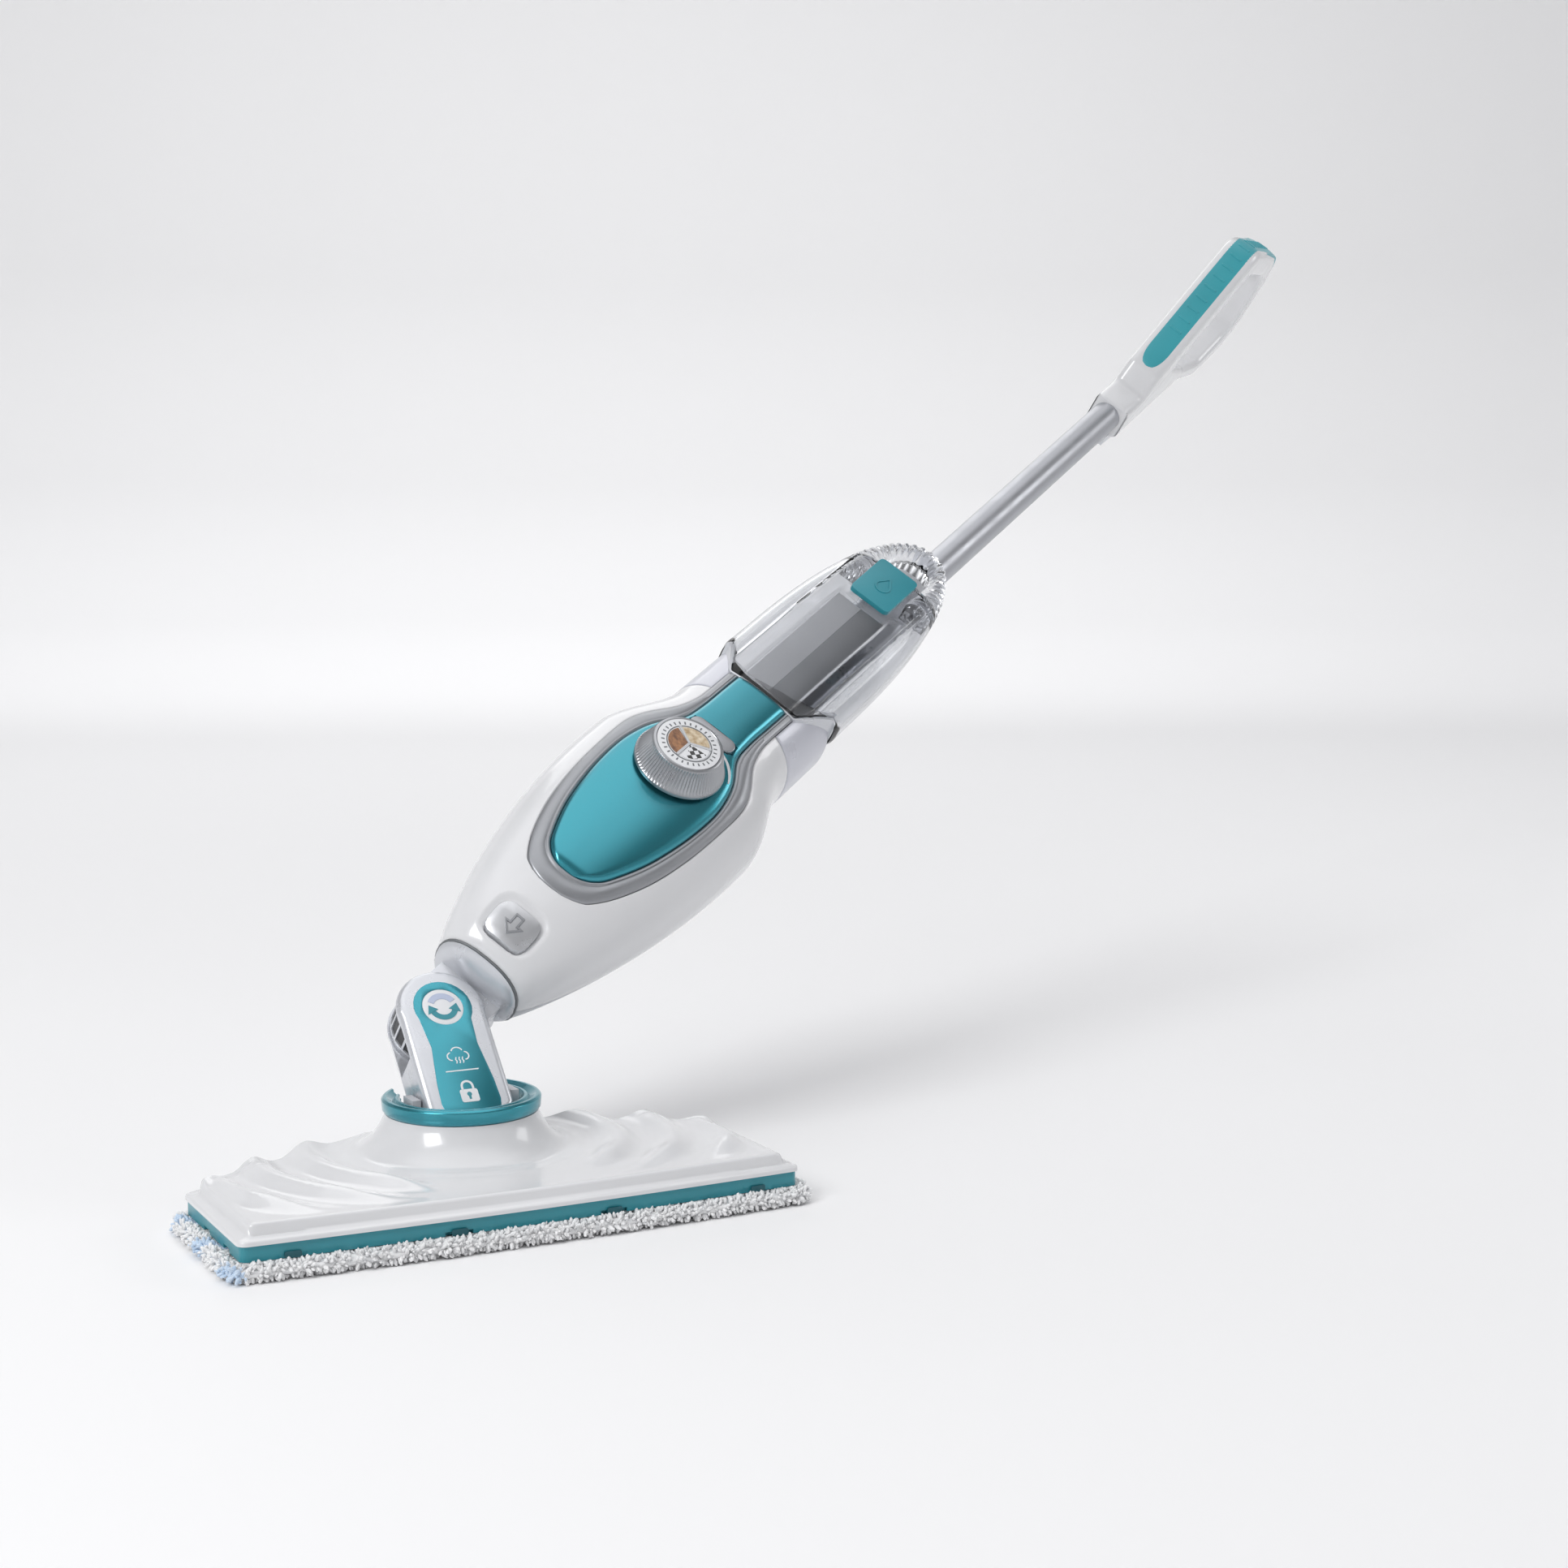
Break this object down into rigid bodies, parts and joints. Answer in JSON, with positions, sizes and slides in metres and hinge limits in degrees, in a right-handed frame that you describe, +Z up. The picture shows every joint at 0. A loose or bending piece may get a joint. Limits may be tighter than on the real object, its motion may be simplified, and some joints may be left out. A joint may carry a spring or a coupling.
{
  "type": "steam mop",
  "caption": "Upright steam mop with a padded head, folding neck, boiler body with a dial, lift-off water tank and loop handle.",
  "frame": {"origin": "centre of the pad's underside, on the floor below the collar's centre", "axes": "+X along the head's length, -Y towards the head's long front edge, +Z up from the floor"},
  "size_m": [1.0193, 0.5898, 0.5775],
  "materials": {
    "pad_pile": "matte",
    "hook_strip": "matte",
    "teal_plastic": "satin",
    "teal_metallic": "metallic gloss",
    "white_plastic": "gloss",
    "pearl_plastic": "pearl",
    "grey_plastic": "satin",
    "silver_trim": "satin metallic",
    "dial_face": "gloss",
    "clear_tank": "clear smoke grey",
    "dark_plastic": "matte",
    "black_rubber": "matte",
    "soft_grip": "matte",
    "satin_tube": "satin",
    "plated_steel": "bright",
    "boiler_metal": "cast",
    "brass_fitting": "satin",
    "thermostat_body": "matte",
    "board_green": "satin",
    "silicone_tube": "translucent matte"
  },
  "bodies": {
    "head": {"mop_pad": "pad_pile", "hook_strips": "hook_strip", "sole_plate": "teal_plastic", "head_cover": "white_plastic", "head_screws": "plated_steel", "pivot_collar": "teal_metallic", "pivot_base": "grey_plastic", "pitch_pin": "plated_steel", "steam_nozzle": "brass_fitting"},
    "fork": {"fork_front": "pearl_plastic", "fork_rear": "pearl_plastic", "fork_label": "teal_metallic", "roll_pin": "plated_steel", "fork_screws": "plated_steel", "fork_hose": "dark_plastic"},
    "neck": {"neck": "pearl_plastic", "neck_tube": "brass_fitting", "neck_o_rings": "black_rubber"},
    "body": {"neck_gasket": "silver_trim", "neck_socket": "grey_plastic", "front_shell": "white_plastic", "rear_shell": "grey_plastic", "shell_screws": "plated_steel", "bezel": "silver_trim", "fascia": "teal_metallic", "shoulder_left": "pearl_plastic", "shoulder_right": "pearl_plastic", "tank_seat": "grey_plastic", "spine": "grey_plastic", "boiler": "boiler_metal", "boiler_bands": "plated_steel", "thermostat": "thermostat_body", "pump": "dark_plastic", "circuit_board": "board_green", "water_tube": "silicone_tube", "steam_tube": "brass_fitting", "selector_switch": "dark_plastic", "cord_gland": "dark_plastic", "tank_seal": "black_rubber", "pole": "satin_tube", "pole_rail": "grey_plastic", "handle_shell": "white_plastic", "handle_rear_cover": "grey_plastic", "grip_insert": "soft_grip", "handle_screws": "plated_steel"},
    "dial": {"dial_ring": "silver_trim", "dial_cap": "dial_face", "dial_spindle": "dark_plastic"},
    "steam_switch": {"steam_button": "silver_trim", "button_spring": "plated_steel"},
    "neck_catch": {"release_button": "silver_trim", "release_spring": "plated_steel"},
    "tank": {"tank_shell": "clear_tank", "latch_pin": "plated_steel"},
    "cap": {"tank_cap": "dark_plastic"},
    "latch": {"tank_latch": "teal_plastic"}
  },
  "joints": [
    {"name": "fork_pitch", "type": "hinge", "parent": "head", "child": "fork", "pos_m": [0, 0, 0.0453], "axis": [-1, 0, 0], "range_deg": [-43.8, 21.2]},
    {"name": "neck_roll", "type": "hinge", "parent": "fork", "child": "neck", "pos_m": [0, 0.03599, 0.08283], "axis": [0, 0.7218, -0.6921], "range_deg": [-124.2, 15.8]},
    {"name": "neck_release", "type": "slide", "parent": "neck", "child": "body", "axis": [0.8111, 0.4049, 0.4222], "range_m": [0, 0.05]},
    {"name": "dial_turn", "type": "hinge", "parent": "body", "child": "dial", "pos_m": [0.15751, 0.06763, 0.20988], "axis": [0.0424, -0.6996, 0.7133], "range_deg": [-120, 120]},
    {"name": "steam_button_press", "type": "slide", "parent": "body", "child": "steam_switch", "axis": [0, 0.7218, -0.6921], "range_m": [0, 0.002], "stiffness_N_per_m": 600},
    {"name": "catch_press", "type": "slide", "parent": "body", "child": "neck_catch", "axis": [0, 0.7218, -0.6921], "range_m": [0, 0.003], "stiffness_N_per_m": 800},
    {"name": "tank_lift", "type": "slide", "parent": "body", "child": "tank", "axis": [0.8111, 0.4049, 0.4222], "range_m": [0, 0.12]},
    {"name": "latch_pull", "type": "hinge", "parent": "tank", "child": "latch", "pos_m": [0.36271, 0.17634, 0.31068], "axis": [-0.585, 0.5614, 0.5854], "range_deg": [0, 15], "stiffness_Nm_per_rad": 0.05},
    {"name": "cap_turn", "type": "hinge", "parent": "tank", "child": "cap", "pos_m": [0.22402, 0.12039, 0.22574], "axis": [0.8111, 0.4049, 0.4222], "range_deg": [0, 90]}
  ]
}
